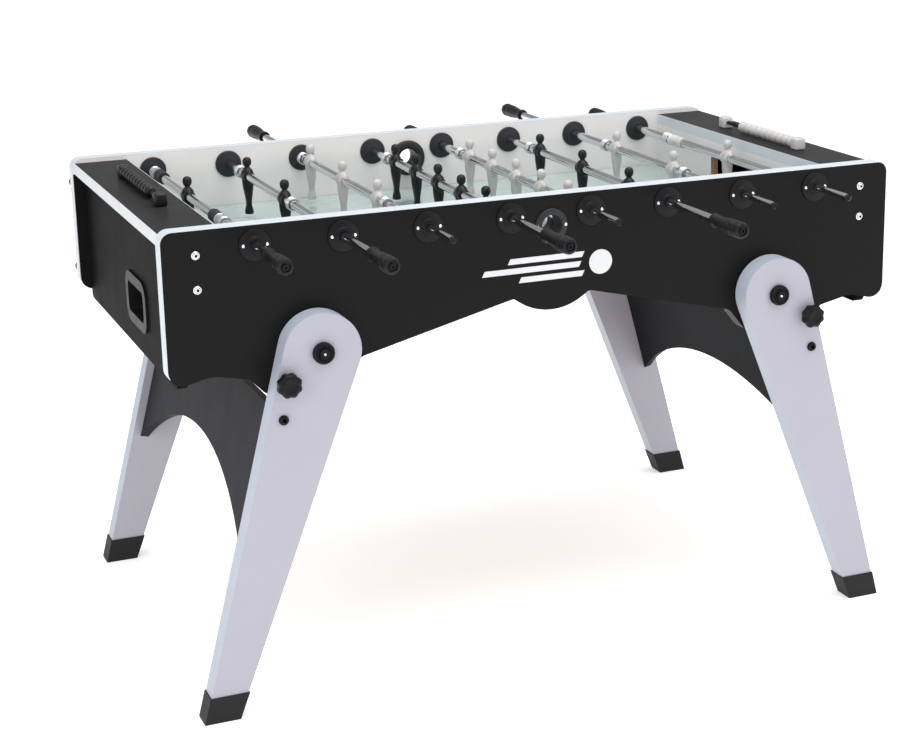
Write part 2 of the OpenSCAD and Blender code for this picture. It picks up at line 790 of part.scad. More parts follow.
module rod_1() rod(1);
module rod_2() rod(2);
module rod_3() rod(3);
module rod_4() rod(4);
module rod_5() rod(5);
module rod_6() rod(6);
module rod_7() rod(7);
module rod_8() rod(8);
module men_1() men(1);
module men_2() men(2);
module men_3() men(3);
module men_4() men(4);
module men_5() men(5);
module men_6() men(6);
module men_7() men(7);
module men_8() men(8);
module handle_1() handle(1);
module handle_2() handle(2);
module handle_3() handle(3);
module handle_4() handle(4);
module handle_5() handle(5);
module handle_6() handle(6);
module handle_7() handle(7);
module handle_8() handle(8);
module buffers_1() buffers(1);
module buffers_2() buffers(2);
module buffers_3() buffers(3);
module buffers_4() buffers(4);
module buffers_5() buffers(5);
module buffers_6() buffers(6);
module buffers_7() buffers(7);
module buffers_8() buffers(8);

side_panel_front();
side_panel_back();
edge_bands();
end_panels();
top_boards();
goal_walls();
playfield_board();
playfield_glass();
ball_trays();
ball_entries();
rod_bearings();
inner_rods();
cabinet_bolts();
score_rails();
score_beads_left();
score_beads_right();
legs_left();
legs_right();
arch_panel_left();
arch_panel_right();
feet_left();
feet_right();
leg_bolts_left();
leg_bolts_right();
lock_knob_front_left();
lock_knob_back_left();
lock_knob_front_right();
lock_knob_back_right();
rod_1();
men_1();
handle_1();
buffers_1();
rod_2();
men_2();
handle_2();
buffers_2();
rod_3();
men_3();
handle_3();
buffers_3();
rod_4();
men_4();
handle_4();
buffers_4();
rod_5();
men_5();
handle_5();
buffers_5();
rod_6();
men_6();
handle_6();
buffers_6();
rod_7();
men_7();
handle_7();
buffers_7();
rod_8();
men_8();
handle_8();
buffers_8();
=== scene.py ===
"""The looks of a table football table on folding legs, made round its solids. Metres throughout."""

from math import cos, pi, radians, sin

import bpy
from mathutils import Matrix, Vector


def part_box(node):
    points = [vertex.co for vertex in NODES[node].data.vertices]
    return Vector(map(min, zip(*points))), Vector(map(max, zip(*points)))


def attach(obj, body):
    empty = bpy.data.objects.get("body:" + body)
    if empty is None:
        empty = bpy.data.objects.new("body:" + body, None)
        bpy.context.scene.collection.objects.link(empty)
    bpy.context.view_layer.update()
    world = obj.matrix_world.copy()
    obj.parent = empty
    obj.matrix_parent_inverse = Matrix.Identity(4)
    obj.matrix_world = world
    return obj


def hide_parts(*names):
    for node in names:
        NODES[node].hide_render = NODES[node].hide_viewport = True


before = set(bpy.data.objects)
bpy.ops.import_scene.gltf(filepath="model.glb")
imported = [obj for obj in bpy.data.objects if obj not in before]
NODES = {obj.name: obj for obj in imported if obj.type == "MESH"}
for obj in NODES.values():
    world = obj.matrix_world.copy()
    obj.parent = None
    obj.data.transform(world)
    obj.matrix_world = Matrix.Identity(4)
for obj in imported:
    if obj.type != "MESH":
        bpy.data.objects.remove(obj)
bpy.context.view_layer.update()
MM = 0.001
RODS = range(1, 9)
MEN_ON = [1, 2, 3, 5, 5, 3, 2, 1]
BLACK_RODS = (1, 2, 4, 6)
KEEPERS = (1, 8)
ENDS = ("left", "right")
FRONT, BACK = -1, 1


# ---- Places, read from the solids -------------------------------------------

def low(node):
    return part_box(node)[0]


def high(node):
    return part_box(node)[1]


def middle(node):
    return (low(node) + high(node)) / 2


SIDE_Y = high("side_panel_back").y
WALL_Y = low("side_panel_back").y
GLASS_Z = high("playfield_glass").z
FIELD_X = high("playfield_glass").x
END_X = high("side_panel_front").x
LID_TOP = high("top_boards").z
LID_Z = low("top_boards").z
ROD_Z = middle("rod_1").z
HEAD_R = 67 * MM
PIVOT_Z = high("legs_right").z - HEAD_R
PIVOT_X = low("legs_right").x + HEAD_R
LEG_FACE = high("legs_right").y
BOLT_X = END_X - 56 * MM
ENTRY_Z = middle("ball_entries").z
RAIL_Z = middle("score_beads_right").z


def rod_x(k):
    return middle(f"rod_{k}").x


def facing(k):
    """-1 for a rod whose handle is at the front, 1 for the others."""
    return FRONT if middle(f"handle_{k}").y < 0 else BACK


# ---- The camera ---------------------------------------------------------------

AZIMUTH, ELEVATION, ROLL = radians(-23.06), radians(15.48), radians(-0.81)
CAMERA_PLACE = (-1.33669, -3.37176, 1.50847)
LENS = 77.9876  # millimetres, on a sensor 36 mm wide
SHIFT_X, SHIFT_Y = -0.0777778, -0.0494444


def place_camera():
    back = Vector((sin(AZIMUTH) * cos(ELEVATION), -cos(AZIMUTH) * cos(ELEVATION), sin(ELEVATION)))
    level = (-back).cross(Vector((0, 0, 1))).normalized()
    upright = level.cross(-back)
    right = cos(ROLL) * level + sin(ROLL) * upright
    up = -sin(ROLL) * level + cos(ROLL) * upright
    data = bpy.data.cameras.new("camera")
    data.sensor_width = 36
    data.lens = LENS
    data.shift_x, data.shift_y = SHIFT_X, SHIFT_Y
    data.clip_end = 50
    camera = bpy.data.objects.new("camera", data)
    bpy.context.scene.collection.objects.link(camera)
    turn = Matrix((right, up, back)).transposed().to_4x4()
    camera.matrix_world = Matrix.Translation(CAMERA_PLACE) @ turn
    bpy.context.scene.camera = camera


place_camera()


# ---- Finishes -----------------------------------------------------------------

class Wire:
    """A number or a colour on its way between two nodes of a finish."""

    def __init__(self, finish, socket):
        self.finish, self.socket = finish, socket

    def maths(self, operation, *values):
        return self.finish.node("ShaderNodeMath", {"operation": operation}, dict(enumerate(values)))

    def __add__(self, other):
        return self.maths("ADD", self, other)

    def __sub__(self, other):
        return self.maths("SUBTRACT", self, other)

    def __rsub__(self, other):
        return self.maths("SUBTRACT", other, self)

    def __mul__(self, other):
        return self.maths("MULTIPLY", self, other)

    def __lt__(self, other):
        return self.maths("LESS_THAN", self, other)

    def __gt__(self, other):
        return self.maths("GREATER_THAN", self, other)

    def __abs__(self):
        return self.maths("ABSOLUTE", self)

    def __pow__(self, other):
        return self.maths("POWER", self, other)

    def at_least(self, other):
        return self.maths("MAXIMUM", self, other)

    __radd__, __rmul__ = __add__, __mul__


class Finish:
    """A material on a Principled shader, whose nodes are added by expressions."""

    def __init__(self, name, **constants):
        self.material = bpy.data.materials.new(name)
        self.material.use_nodes = True
        self.tree = self.material.node_tree
        self.shader = self.tree.nodes["Principled BSDF"]
        for socket, value in constants.items():
            self.shader.inputs[socket.replace("_", " ")].default_value = value
        self.place = self.node("ShaderNodeTexCoord", {}, {}, "Object")
        parts = self.node("ShaderNodeSeparateXYZ", {}, {0: self.place}).socket.node
        self.x, self.y, self.z = (Wire(self, output) for output in parts.outputs)

    def node(self, kind, settings, values, output=0):
        """Adds a node: its settings first, then a value or a wire for each of its sockets."""
        made = self.tree.nodes.new(kind)
        for name, value in settings.items():
            if name == "stops":
                ramp = made.color_ramp
                while len(ramp.elements) < len(value):
                    ramp.elements.new(0.5)
                for element, (position, colour) in zip(ramp.elements, value):
                    element.position, element.color = position, (*colour, 1)
            else:
                setattr(made, name, value)
        for name, value in values.items():
            socket = made.inputs[name]
            if isinstance(value, Wire):
                self.tree.links.new(value.socket, socket)
            elif isinstance(value, tuple) and len(value) == 3 and socket.type == "RGBA":
                socket.default_value = (*value, 1)
            else:
                socket.default_value = value
        return Wire(self, made.outputs[output])

    def stretched(self, scale):
        return self.node("ShaderNodeMapping", {}, {"Vector": self.place, "Scale": scale})

    def noise(self, size, detail=3.0, place=None):
        """Noise from 0 to 1, its patches about size metres across."""
        return self.node("ShaderNodeTexNoise", {},
                         {"Vector": place or self.place, "Scale": 1 / size, "Detail": detail})

    def mix(self, share, first, second):
        return self.node("ShaderNodeMix", {"data_type": "RGBA"}, {0: share, 6: first, 7: second}, 2)

    def ramp(self, share, *stops):
        return self.node("ShaderNodeValToRGB", {"stops": stops}, {0: share})

    def colour(self, wire):
        self.tree.links.new(wire.socket, self.shader.inputs["Base Color"])
        return self

    def rough(self, wire):
        self.tree.links.new(wire.socket, self.shader.inputs["Roughness"])
        return self

    def bump(self, wire, height, strength=1.0):
        bumped = self.node("ShaderNodeBump", {}, {"Height": wire, "Distance": height, "Strength": strength})
        self.tree.links.new(bumped.socket, self.shader.inputs["Normal"])
        return self


def shade(red, green, blue):
    """A colour given as 0 to 255 on a screen, as light."""
    def level(value):
        share = value / 255
        return share / 12.92 if value < 11 else ((share + 0.055) / 1.055) ** 2.4

    return level(red), level(green), level(blue)


BLACK = shade(20, 20, 20)
CREAM = shade(226, 222, 221)
RAW_WOOD = shade(196, 160, 140)


def speckled(finish, base, share=0.08, size=1.2 * MM):
    """The base colour with a fine pale and dark speckle and slow clouds."""
    fine = finish.noise(size, 2)
    cloud = finish.noise(90 * MM, 2)
    darker = tuple(c * (1 - share * 1.6) for c in base)
    paler = tuple(min(1, c * (1 + share)) for c in base)
    return finish.mix(fine * 0.65 + cloud * 0.35, darker, paler)


def laminate(name, base, roughness, wood=None, inside=None, **constants):
    """A pressed laminate: fine grain, a soft sheen, and the raw or pale faces that a mask marks."""
    finish = Finish(name, **constants)
    colour = speckled(finish, base, 0.12)
    if inside is not None:
        inner = speckled(finish, CREAM, 0.06, 2.5 * MM)
        colour = finish.mix(inside(finish), colour, inner)
    if wood is not None:
        rings = finish.noise(30 * MM, 5, finish.stretched((12, 1, 12)))
        grain = finish.ramp(rings, (0.3, shade(165, 120, 96)), (0.7, RAW_WOOD))
        colour = finish.mix(wood(finish), colour, grain)
    finish.colour(colour)
    finish.rough(finish.noise(60 * MM, 3) * 0.12 + (roughness - 0.06))
    return finish.bump(finish.noise(0.9 * MM, 3), 0.05 * MM, 0.35)


GOAL_WALL = 16 * MM
MOUTH_HALF = 104.5 * MM
MOUTH_TOP = GLASS_Z + 66.5 * MM


def side_inside(finish):
    """The face of a side panel that looks on to the field."""
    over_field = (abs(finish.x) < FIELD_X + GOAL_WALL).at_least(finish.z > LID_Z)
    return (abs(finish.y) < WALL_Y + 0.3 * MM) * over_field


def mouth_edge(finish):
    """The cut edges of a goal mouth."""
    depth = abs(finish.x)
    skin = 0.4 * MM
    inside = (depth > FIELD_X + skin) * (depth < FIELD_X + GOAL_WALL - skin)
    near = (abs(finish.y) < MOUTH_HALF) * (finish.z < MOUTH_TOP) * (finish.z > GLASS_Z - 2 * MM)
    return inside * near


side_laminate = laminate("black_laminate_with_pale_inside", BLACK, 0.36, inside=side_inside,
                         Specular_IOR_Level=0.1)
end_laminate = laminate("black_laminate", shade(22, 22, 22), 0.42, Specular_IOR_Level=0.006)
# Painted sheen: the top boards are the same black laminate, given a paler grey base colour in place of their
# glossy reflection, which is nearly switched off.
lid_laminate_painted_sheen = laminate("black_laminate_painted_sheen", shade(48, 48, 48), 0.3, Specular_IOR_Level=0.006)
goal_laminate = laminate("pale_laminate", CREAM, 0.45, wood=mouth_edge)


def edge_band():
    """White edging with faint streaks along it."""
    finish = Finish("white_edge_band")
    streaks = finish.noise(4 * MM, 3, finish.stretched((0.06, 0.06, 1)))
    share = streaks * 0.5 + finish.noise(70 * MM) * 0.5
    finish.colour(finish.mix(share, shade(190, 197, 203), shade(206, 212, 217)))
    finish.rough(finish.noise(25 * MM) * 0.15 + 0.28)
    return finish.bump(streaks, 0.03 * MM, 0.3)


def leg_foil_lit_edges():
    """Silver-lilac foil, with paler and bluer narrow edges: partly their own paler tone, partly painted light.
    """
    finish = Finish("silver_lilac_foil_lit_edges")
    normal = finish.node("ShaderNodeTexCoord", {}, {}, "Normal")
    flat = abs(finish.node("ShaderNodeSeparateXYZ", {}, {0: normal}, "Y"))
    face = speckled(finish, shade(168, 167, 179), 0.05, 1.6 * MM)
    # The edge colour is partly the edges' own paler tone and partly painted light, as bright as the lit
    # left-hand faces.
    edge = speckled(finish, shade(176, 184, 198), 0.05, 1.6 * MM)
    finish.colour(finish.mix(flat > 0.7, edge, face))
    finish.rough(finish.noise(45 * MM) * 0.14 + 0.38)
    return finish.bump(finish.noise(1.1 * MM, 4), 0.05 * MM, 0.4)


def arch_board_painted_shade():
    """Anthracite laminate with painted shade: the right-hand arch is the same board, given a darker copy of its
    colour for the shade it lies in.
    """
    finish = Finish("anthracite_laminate_painted_shade_right", Specular_IOR_Level=0.03)
    left = speckled(finish, shade(46, 47, 52), 0.1)
    # Painted shade: the right arch's darker colour stands in for shadow, not for a different board.
    right = speckled(finish, shade(30, 32, 35), 0.1)
    finish.colour(finish.mix(finish.x > 0, left, right))
    finish.rough(finish.noise(60 * MM) * 0.12 + 0.42)
    return finish.bump(finish.noise(1.0 * MM, 3), 0.05 * MM, 0.35)


def chrome(name, base=(0.74, 0.75, 0.78), roughness=0.1):
    """Plated steel with fine lengthwise polishing marks."""
    finish = Finish(name, Metallic=1.0)
    marks = finish.noise(1.2 * MM, 3, finish.stretched((1, 0.03, 1)))
    cloud = finish.noise(35 * MM, 2)
    finish.colour(finish.mix(marks * 0.4 + cloud * 0.6, tuple(c * 0.86 for c in base), base))
    finish.rough(marks * 0.1 + cloud * 0.06 + (roughness - 0.05))
    return finish.bump(marks, 0.02 * MM, 0.2)


def tipped_chrome(tip_y):
    """Plated steel whose far ends are blackened."""
    finish = chrome("tipped_chrome")
    plating = Wire(finish, finish.shader.inputs["Base Color"].links[0].from_socket)
    return finish.colour(finish.mix(abs(finish.y) > tip_y, plating, (0.02, 0.02, 0.022)))


def moulded(name, base, roughness, grain=0.5 * MM, depth=0.04 * MM, **constants):
    """Moulded plastic or rubber: a fine grained skin and slow changes of sheen."""
    finish = Finish(name, **constants)
    skin = finish.noise(grain, 2)
    cloud = finish.noise(14 * MM, 3)
    darker = tuple(c * 0.82 for c in base)
    paler = tuple(min(1, c * 1.12) for c in base)
    finish.colour(finish.mix(skin * 0.4 + cloud * 0.6, darker, paler))
    finish.rough(cloud * 0.16 + skin * 0.06 + (roughness - 0.1))
    return finish.bump(skin, depth, 0.4)


def field_glass():
    """Glass over the pale green field, with its lines, spots and areas."""
    finish = Finish("field_glass", Coat_Weight=1.0, Coat_Roughness=0.03, Specular_IOR_Level=0.6)
    x, y = finish.x, finish.y
    from_middle = (x * x + y * y) ** 0.5
    half_line = 1.6 * MM
    spot, spot_ring, centre_circle = 46 * MM, 50 * MM, 100 * MM
    goal_area, penalty_area = (95 * MM, 145 * MM), (205 * MM, 215 * MM)
    rim = 1.2 * MM

    def line(distance):
        return abs(distance) < half_line

    def rectangle(deep, half):
        """The outline of an area in front of each goal, so deep and so wide to either side."""
        inward = FIELD_X - abs(x)
        sideways = abs(y)
        across = line(inward - deep) * (sideways < half)
        along = line(sideways - half) * (inward < deep)
        return across.at_least(along)

    lines = line(x).at_least(line(from_middle - centre_circle))
    lines = lines.at_least(rectangle(*goal_area)).at_least(rectangle(*penalty_area))
    disc = from_middle < spot
    ring = line(from_middle - spot_ring)
    edge = (abs(y) > WALL_Y - rim).at_least(abs(x) > FIELD_X - rim)
    cloud = finish.noise(120 * MM, 2)
    share = cloud * 0.6 + finish.noise(1.5 * MM, 2) * 0.4
    pale = finish.mix(share, shade(150, 174, 170), shade(166, 190, 186))
    green = speckled(finish, shade(36, 118, 98), 0.1)
    colour = finish.mix(lines * 0.7, pale, shade(92, 142, 130))
    colour = finish.mix(disc, colour, green)
    colour = finish.mix(ring.at_least(edge), colour, shade(26, 84, 70))
    finish.colour(colour)
    return finish.rough(cloud * 0.08 + 0.12)


def raw_board():
    """Bare particle board, in which the chips show."""
    finish = Finish("raw_particle_board")
    chips = finish.noise(3.5 * MM, 5, finish.stretched((1, 1, 2.5)))
    dark, tan, pale = shade(142, 110, 78), shade(182, 150, 112), shade(208, 180, 142)
    finish.colour(finish.ramp(chips, (0.3, dark), (0.55, tan), (0.8, pale)))
    finish.rough(chips * 0.2 + 0.65)
    return finish.bump(chips, 0.3 * MM, 0.5)


def emblem_paint():
    """Pale grey print with a fine grain."""
    finish = Finish("pale_grey_print")
    fine = finish.noise(0.8 * MM, 3)
    finish.colour(finish.mix(fine, shade(196, 197, 200), shade(222, 223, 226)))
    finish.rough(fine * 0.12 + 0.4)
    return finish.bump(fine, 0.02 * MM, 0.3)


def paint(node, finish):
    """Gives a carried-over solid its finish."""
    solid = NODES[node]
    solid.data.materials.clear()
    solid.data.materials.append(finish.material)


band = edge_band()
foil_with_lit_edges = leg_foil_lit_edges()
arch_finish_painted_shade = arch_board_painted_shade()
rod_chrome = chrome("rod_chrome")
spring_steel = chrome("spring_steel", (0.72, 0.74, 0.75), 0.3)
zinc = chrome("bright_zinc", (0.82, 0.82, 0.83), 0.2)
black_moulding = moulded("black_moulding", shade(20, 20, 22), 0.42, Specular_IOR_Level=0.15)
disc_plastic = moulded("dark_grey_disc_plastic", shade(38, 39, 43), 0.5, 0.8 * MM, Specular_IOR_Level=0.3)
handle_grip = moulded("handle_plastic", shade(17, 17, 20), 0.4, 0.9 * MM, 0.08 * MM, Specular_IOR_Level=0.22)
black_man = moulded("black_player_plastic", shade(22, 22, 24), 0.34, Specular_IOR_Level=0.3)
frosted_man = moulded("frosted_player_plastic", shade(190, 187, 185), 0.42, 0.9 * MM, 0.05 * MM,
                      Specular_IOR_Level=0.35)
ring_rubber = moulded("black_rubber", shade(24, 24, 26), 0.6, 0.7 * MM, 0.08 * MM)
foot_rubber = moulded("foot_rubber", shade(30, 30, 32), 0.55, 1.2 * MM, 0.15 * MM, Specular_IOR_Level=0.2)
white_rubber = moulded("white_buffer_plastic", shade(196, 196, 194), 0.4)
glass = field_glass()
board = raw_board()
print_grey = emblem_paint()
BLACK_TEAM = ("black_men", black_man)
FROSTED_TEAM = ("frosted_men", frosted_man)
SCORER_TEAM = {"left": BLACK_TEAM, "right": FROSTED_TEAM}
TIP = 3.2 * MM

paint("side_panel_front", side_laminate)
paint("side_panel_back", side_laminate)
paint("end_panels", end_laminate)
paint("top_boards", lid_laminate_painted_sheen)
paint("goal_walls", goal_laminate)
paint("edge_bands", band)
paint("playfield_board", board)
paint("playfield_glass", glass)
paint("ball_trays", black_moulding)
paint("inner_rods", tipped_chrome(high("inner_rods").y - TIP))
for end in ENDS:
    paint(f"legs_{end}", foil_with_lit_edges)
    paint(f"arch_panel_{end}", arch_finish_painted_shade)
    paint(f"feet_{end}", foot_rubber)
for k in RODS:
    paint(f"rod_{k}", rod_chrome)


# ---- Making pieces -------------------------------------------------------------

def start(*pieces):
    """Selects just these pieces; the first one is the active one."""
    bpy.ops.object.select_all(action="DESELECT")
    for piece in pieces:
        piece.select_set(True)
    if pieces:
        bpy.context.view_layer.objects.active = pieces[0]


def editing(on):
    bpy.ops.object.mode_set(mode="EDIT" if on else "OBJECT")


def pick(piece, test, kind="polygons"):
    """Goes into edit mode with the faces or vertices selected that pass the test."""
    editing(True)
    bpy.ops.mesh.select_mode(type="FACE" if kind == "polygons" else "VERT")
    bpy.ops.mesh.select_all(action="DESELECT")
    editing(False)
    if kind == "polygons":
        for face in piece.data.polygons:
            face.select = test(face.center, face.normal)
    else:
        for vertex in piece.data.vertices:
            vertex.select = test(vertex.co)
    editing(True)


def close_up(piece, angle=35):
    """Merges doubles, turns the faces outwards and smooths the shading up to an angle."""
    editing(True)
    bpy.ops.mesh.select_all(action="SELECT")
    bpy.ops.mesh.remove_doubles(threshold=0.01 * MM)
    bpy.ops.mesh.normals_make_consistent(inside=False)
    editing(False)
    start(piece)
    bpy.ops.object.shade_smooth_by_angle(angle=radians(angle))
    return piece


def modify(piece, kind, **settings):
    """Adds a modifier, sets it and applies it."""
    start(piece)
    modifier = piece.modifiers.new(kind.lower(), kind)
    for name, value in settings.items():
        setattr(modifier, name, value)
    bpy.ops.object.modifier_apply(modifier=modifier.name)
    return piece


def turned(profile, sides=32, ring=False):
    """A shape turned round the Y axis: a circle drawn out step by step.
    The profile is pairs of radius and place along Y, in millimetres. A ring closes on itself round its bore."""
    start()
    radius, y = profile[0]
    bpy.ops.mesh.primitive_circle_add(
        vertices=sides, radius=radius * MM, fill_type="NOTHING" if ring else "NGON",
        location=(0, y * MM, 0), rotation=(radians(-90), 0, 0))
    piece = bpy.context.object
    editing(True)
    bpy.ops.mesh.select_all(action="SELECT")
    for next_radius, next_y in profile[1:] + (profile[:1] if ring else []):
        bpy.ops.mesh.extrude_region_move(TRANSFORM_OT_translate={"value": (0, (next_y - y) * MM, 0)})
        size = next_radius / radius
        bpy.ops.transform.resize(value=(size, 1, size), center_override=(0, next_y * MM, 0))
        radius, y = next_radius, next_y
    editing(False)
    return close_up(piece)


def twin(piece, matrix):
    """A copy of a piece with its own mesh, moved by a matrix."""
    other = piece.copy()
    other.data = piece.data.copy()
    bpy.context.scene.collection.objects.link(other)
    other.matrix_world = matrix @ piece.matrix_world
    return other


def joined(*pieces):
    """One piece out of several, with its place in its mesh."""
    if len(pieces) > 1:
        start(*pieces)
        bpy.ops.object.join()
    start(pieces[0])
    bpy.ops.object.transform_apply(location=True, rotation=True, scale=True)
    return pieces[0]


def repeated(piece, places):
    """The piece at the first place joined to copies at the others; a place is a matrix."""
    joined(piece)
    others = [twin(piece, place) for place in places[1:]]
    piece.matrix_world = places[0] @ piece.matrix_world
    return joined(piece, *others)


def settle(piece, name, body, slot, finish, *replaced):
    """Names a finished piece and puts it on its body."""
    piece.name = name
    piece.data.name = name
    piece.data.materials.clear()
    piece.data.materials.append(finish.material)
    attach(piece, body)
    if replaced:
        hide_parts(*replaced)
    return piece


def at(x, y, z):
    """Moves a piece to a place."""
    return Matrix.Translation((x, y, z))


def to(x, y, z, way):
    """Moves a piece that points along +Y to a place, turned half round where way is -1."""
    return at(x, y, z) @ Matrix.Rotation(0 if way > 0 else pi, 4, "Z")


def from_line(co):
    """How far a point is from the Y axis."""
    return Vector((co.x, 0, co.z)).length


def rim_line(share):
    """The direction from the Y axis at a share of a full turn."""
    angle = 2 * pi * share
    return Vector((cos(angle), 0, sin(angle)))


# ---- Players ---------------------------------------------------------------------

# Height over the rod, half width and half depth in millimetres, and how far the middle is pinched in.
FIGURE = [
    (-74.0, 7.8, 8.2, 0.06), (-73.0, 8.8, 9.2, 0.06), (-65.0, 8.8, 9.2, 0.08), (-61.0, 7.8, 7.8, 0.16),
    (-56.0, 6.8, 6.6, 0.24), (-49.0, 7.4, 7.2, 0.26), (-42.0, 8.6, 8.4, 0.24), (-36.0, 9.4, 9.4, 0.2),
    (-30.0, 10.0, 10.2, 0.14), (-23.0, 10.4, 10.8, 0.06), (-17.0, 10.4, 11.0, 0.0), (-11.0, 10.2, 11.2, 0.0),
    (-4.0, 10.6, 12.0, 0.0), (3.0, 11.2, 12.0, 0.0), (9.0, 12.2, 11.2, 0.0), (12.8, 11.4, 9.2, 0.0),
    (15.2, 7.4, 6.2, 0.0), (17.2, 4.6, 4.6, 0.0), (21.0, 4.2, 4.3, 0.0)
]
# Radius and height over the rod.
HEAD = [(3.6, 17.6), (5.8, 19.0), (7.6, 21.2), (8.7, 24.4), (9.0, 27.8), (8.4, 31.0), (6.9, 33.8), (4.4, 35.6),
        (1.4, 36.4)]
# Height over the rod, distance from the middle and radius.
ARM = [(-18.0, 8.4, 2.0), (-16.0, 9.0, 3.4), (-10.0, 10.4, 4.2), (-3.0, 11.6, 5.0), (4.0, 11.8, 5.6),
       (10.0, 11.2, 5.4), (11.6, 9.4, 3.4)]
CLAMP = [(10.2, -12.9), (11.0, -12.4), (11.2, -11.0), (11.2, 0), (11.2, 11.0), (11.0, 12.4), (10.2, 12.9),
         (8.2, 12.9), (8.2, -12.9)]
HALF_MAN = 13 * MM


def upright_stack(levels, sides):
    """A disc drawn upwards level by level; a level is (height, middle y, half width, half depth)."""
    start()
    z, y, wide, deep = levels[0]
    bpy.ops.mesh.primitive_circle_add(vertices=sides, radius=1 * MM, fill_type="NGON",
                                      location=(0, y * MM, z * MM))
    piece = bpy.context.object
    editing(True)
    bpy.ops.mesh.select_all(action="SELECT")
    bpy.ops.transform.resize(value=(deep, wide, 1), center_override=(0, y * MM, z * MM))
    for new_z, new_y, new_wide, new_deep in levels[1:]:
        bpy.ops.mesh.extrude_region_move(
            TRANSFORM_OT_translate={"value": (0, (new_y - y) * MM, (new_z - z) * MM)})
        bpy.ops.transform.resize(value=(new_deep / deep, new_wide / wide, 1),
                                 center_override=(0, new_y * MM, new_z * MM))
        z, y, wide, deep = new_z, new_y, new_wide, new_deep
    editing(False)
    return piece


def make_player():
    """One player about the rod's line: legs pressed together, arms at the sides, a round head and a clamp."""
    body = joined(upright_stack([(z, 0, wide, deep) for z, wide, deep, _ in FIGURE], 16))
    for z, wide, deep, pinch in FIGURE:
        if pinch:
            pick(body, lambda co: abs(co.z - z * MM) < 0.1 * MM and abs(co.y) < 0.42 * wide * MM, "vertices")
            bpy.ops.transform.resize(value=(1 - pinch, 1, 1), center_override=(0, 0, z * MM))
            editing(False)
    head = upright_stack([(z, 0, r * 0.94, r) for r, z in HEAD], 14)
    arms = [upright_stack([(z, side * y, r * 0.82, r) for z, y, r in ARM], 10) for side in (-1, 1)]
    for part in (body, head, *arms):
        modify(part, "SUBSURF", levels=1, render_levels=1)
        close_up(part, 50)
    return joined(body, head, *arms, turned(CLAMP, sides=28, ring=True))


def men_places(k):
    """Where the players of a rod stand along it."""
    first, last = low(f"men_{k}").y + HALF_MAN, high(f"men_{k}").y - HALF_MAN
    count = MEN_ON[k - 1]
    if count == 1:
        return [(first + last) / 2]
    return [first + (last - first) * i / (count - 1) for i in range(count)]


player = make_player()
for k in RODS:
    team = repeated(twin(player, Matrix()), [at(rod_x(k), y, ROD_Z) for y in men_places(k)])
    colours = BLACK_TEAM if k in BLACK_RODS else FROSTED_TEAM
    settle(team, f"players_{k}", f"rod_{k}", *colours, f"men_{k}")
bpy.data.objects.remove(player)


# ---- Handles -----------------------------------------------------------------------

# From the rod's end outwards: a collar, a waist, a swelling grip and a dished end.
HANDLE = [
    (10.8, 0), (11.8, 0.8), (12.2, 2.4), (12.2, 7.0), (11.8, 9.4), (10.8, 11.2), (10.2, 14.0), (10.2, 19.0),
    (10.6, 26.0), (11.4, 34.0), (12.3, 43.0), (13.2, 53.0), (13.9, 63.0), (14.2, 71.0), (13.9, 73.6),
    (13.0, 74.8), (13.0, 76.4), (13.9, 77.6), (14.2, 79.4), (14.2, 89.0), (13.6, 93.4), (12.2, 96.6),
    (10.2, 97.9), (8.8, 97.9), (8.0, 97.0), (7.4, 94.0), (5.2, 93.8), (4.8, 96.2), (3.2, 96.4), (2.8, 93.4),
    (0.4, 93.0)
]
HANDLE_LENGTH = 98 * MM
FLUTES, FLUTE_DEPTH = 8, 0.8 * MM


def make_grip():
    """A handle from the rod's end outwards, with flutes pressed into its grip."""
    grip = joined(turned(HANDLE))
    for flute in range(FLUTES):
        line = rim_line((flute + 0.5) / FLUTES)
        pick(grip, lambda co: 30 * MM < co.y < 94 * MM and from_line(co) > 10.4 * MM
             and co.dot(line) > 0.985 * from_line(co), "vertices")
        bpy.ops.transform.translate(value=tuple(line * -FLUTE_DEPTH))
        editing(False)
    return close_up(grip, 30)


for k in RODS:
    way = facing(k)
    far = high(f"handle_{k}").y if way > 0 else low(f"handle_{k}").y
    grip = repeated(make_grip(), [to(rod_x(k), far - way * HANDLE_LENGTH, ROD_Z, way)])
    settle(grip, f"grip_{k}", f"rod_{k}", "handle_plastic", handle_grip, f"handle_{k}")


# ---- Springs and stops ---------------------------------------------------------------

def spring(length, turns=4, coil=11.0, wire=1.3):
    """A coil spring along Y, from a wire's section screwed round its line; all but the turns in millimetres."""
    start()
    bpy.ops.mesh.primitive_circle_add(vertices=8, radius=wire * MM, fill_type="NOTHING",
                                      location=(coil * MM, wire * MM, 0))
    piece = bpy.context.object
    bpy.ops.object.transform_apply(location=True, rotation=True, scale=True)
    steps = int(18 * turns)
    modify(piece, "SCREW", axis="Y", angle=2 * pi * turns, screw_offset=(length - 2 * wire) * MM,
           steps=steps, render_steps=steps, use_smooth_shade=True)
    editing(True)
    bpy.ops.mesh.select_all(action="SELECT")
    bpy.ops.mesh.region_to_loop()
    bpy.ops.mesh.fill_holes(sides=0)
    editing(False)
    return close_up(piece, 60)


def sleeve(first, last, outer, groove=0.0):
    """A ring on the rod, its rims rounded, with an optional groove round its middle; in millimetres."""
    bore, rounding = 8.36, 0.7
    profile = [(bore, first), (outer - rounding, first), (outer, first + 0.8)]
    if groove:
        centre = (first + last) / 2
        profile += [(outer, centre - 2), (outer - groove, centre - 1), (outer - groove, centre + 1),
                    (outer, centre + 2)]
    profile += [(outer, last - 0.8), (outer - rounding, last), (bore, last)]
    return turned(profile, sides=28, ring=True)


def stops(k):
    """The metal and the rubber stops at one side of a rod, from the wall inwards."""
    if k == 8:
        return joined(spring(24, 6), sleeve(24.4, 30, 11.0)), sleeve(30.2, 78, 10.8, 0.5)
    if k == 1:
        rings = joined(sleeve(0, 10, 11.4, 0.8), sleeve(10.3, 34, 10.4, 0.6), sleeve(34.2, 38, 11.2))
        return rings, sleeve(38.3, 78, 11.6, 0.9)
    return spring(18), None


